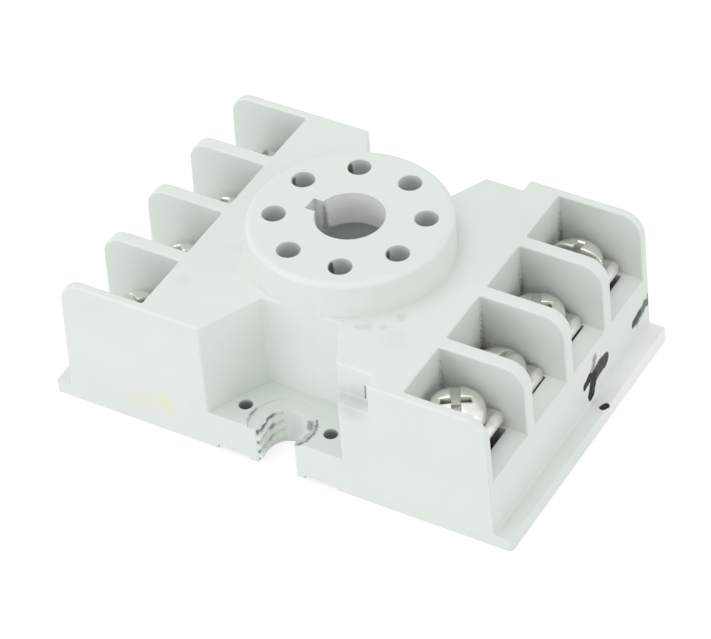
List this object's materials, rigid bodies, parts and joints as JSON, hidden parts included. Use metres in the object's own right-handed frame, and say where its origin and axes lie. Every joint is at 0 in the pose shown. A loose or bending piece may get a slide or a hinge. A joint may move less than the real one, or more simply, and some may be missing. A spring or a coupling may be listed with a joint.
{
  "type": "relay socket",
  "caption": "Surface-mount octal relay socket: a moulded base with a keyed pin boss, finned terminal pockets, captive-clamp screws and open mounting notches.",
  "frame": {"origin": "on the mounting surface, under the centre of the pin circle", "axes": "+X across to the terminals on the right, +Y to the back, +Z out of the pin face; the key points to -X"},
  "size_m": [0.0602, 0.039, 0.0228],
  "materials": {
    "housing": "satin light grey moulding",
    "cover": "dull dark laminate",
    "contact": "dull stamped brass",
    "clamp": "nickel plated",
    "screw": "nickel plated"
  },
  "bodies": {
    "base": {"body_moulding": "housing", "bottom_cover": "cover", "contact_1": "contact", "contact_2": "contact", "contact_3": "contact", "contact_4": "contact", "contact_5": "contact", "contact_6": "contact", "contact_7": "contact", "contact_8": "contact"},
    "clamp_1": {"clamp_plate_1": "clamp"},
    "screw_1": {"terminal_screw_1": "screw"},
    "clamp_2": {"clamp_plate_2": "clamp"},
    "screw_2": {"terminal_screw_2": "screw"},
    "clamp_3": {"clamp_plate_3": "clamp"},
    "screw_3": {"terminal_screw_3": "screw"},
    "clamp_4": {"clamp_plate_4": "clamp"},
    "screw_4": {"terminal_screw_4": "screw"},
    "clamp_5": {"clamp_plate_5": "clamp"},
    "screw_5": {"terminal_screw_5": "screw"},
    "clamp_6": {"clamp_plate_6": "clamp"},
    "screw_6": {"terminal_screw_6": "screw"},
    "clamp_7": {"clamp_plate_7": "clamp"},
    "screw_7": {"terminal_screw_7": "screw"},
    "clamp_8": {"clamp_plate_8": "clamp"},
    "screw_8": {"terminal_screw_8": "screw"}
  },
  "joints": [
    {"name": "clamp_1_lift", "type": "slide", "parent": "base", "child": "clamp_1", "axis": [0, 0, 1], "range_m": [0, 0.003]},
    {"name": "screw_1_turn", "type": "hinge", "parent": "clamp_1", "child": "screw_1", "pos_m": [-0.02096, -0.00476, 0.012], "axis": [0, 0, 1], "range_deg": [-0.4, 1361.03]},
    {"name": "clamp_2_lift", "type": "slide", "parent": "base", "child": "clamp_2", "axis": [0, 0, 1], "range_m": [0, 0.003]},
    {"name": "screw_2_turn", "type": "hinge", "parent": "clamp_2", "child": "screw_2", "pos_m": [-0.02096, -0.01429, 0.012], "axis": [0, 0, 1], "range_deg": [-0.4, 1361.03]},
    {"name": "clamp_3_lift", "type": "slide", "parent": "base", "child": "clamp_3", "axis": [0, 0, 1], "range_m": [-0.00145, 0.00105]},
    {"name": "screw_3_turn", "type": "hinge", "parent": "clamp_3", "child": "screw_3", "pos_m": [0.02096, -0.01429, 0.012], "axis": [0, 0, 1], "range_deg": [-658.04, 476.62]},
    {"name": "clamp_4_lift", "type": "slide", "parent": "base", "child": "clamp_4", "axis": [0, 0, 1], "range_m": [0, 0.003]},
    {"name": "screw_4_turn", "type": "hinge", "parent": "clamp_4", "child": "screw_4", "pos_m": [0.02096, -0.00476, 0.012], "axis": [0, 0, 1], "range_deg": [-0.4, 1361.03]},
    {"name": "clamp_5_lift", "type": "slide", "parent": "base", "child": "clamp_5", "axis": [0, 0, 1], "range_m": [-0.00015, 0.00235]},
    {"name": "screw_5_turn", "type": "hinge", "parent": "clamp_5", "child": "screw_5", "pos_m": [0.02096, 0.00476, 0.012], "axis": [0, 0, 1], "range_deg": [-68.43, 1066.23]},
    {"name": "clamp_6_lift", "type": "slide", "parent": "base", "child": "clamp_6", "axis": [0, 0, 1], "range_m": [-0.00085, 0.00165]},
    {"name": "screw_6_turn", "type": "hinge", "parent": "clamp_6", "child": "screw_6", "pos_m": [0.02096, 0.01429, 0.012], "axis": [0, 0, 1], "range_deg": [-385.91, 748.75]},
    {"name": "clamp_7_lift", "type": "slide", "parent": "base", "child": "clamp_7", "axis": [0, 0, 1], "range_m": [0, 0.003]},
    {"name": "screw_7_turn", "type": "hinge", "parent": "clamp_7", "child": "screw_7", "pos_m": [-0.02096, 0.01429, 0.012], "axis": [0, 0, 1], "range_deg": [-0.4, 1361.03]},
    {"name": "clamp_8_lift", "type": "slide", "parent": "base", "child": "clamp_8", "axis": [0, 0, 1], "range_m": [0, 0.003]},
    {"name": "screw_8_turn", "type": "hinge", "parent": "clamp_8", "child": "screw_8", "pos_m": [-0.02096, 0.00476, 0.012], "axis": [0, 0, 1], "range_deg": [-0.4, 1361.03]}
  ],
  "couplings": [
    {"joint": "screw_1_turn", "follows": "clamp_1_lift", "rad_per_m": 7915.8},
    {"joint": "screw_2_turn", "follows": "clamp_2_lift", "rad_per_m": 7915.8},
    {"joint": "screw_3_turn", "follows": "clamp_3_lift", "rad_per_m": 7915.8},
    {"joint": "screw_4_turn", "follows": "clamp_4_lift", "rad_per_m": 7915.8},
    {"joint": "screw_5_turn", "follows": "clamp_5_lift", "rad_per_m": 7915.8},
    {"joint": "screw_6_turn", "follows": "clamp_6_lift", "rad_per_m": 7915.8},
    {"joint": "screw_7_turn", "follows": "clamp_7_lift", "rad_per_m": 7915.8},
    {"joint": "screw_8_turn", "follows": "clamp_8_lift", "rad_per_m": 7915.8}
  ]
}
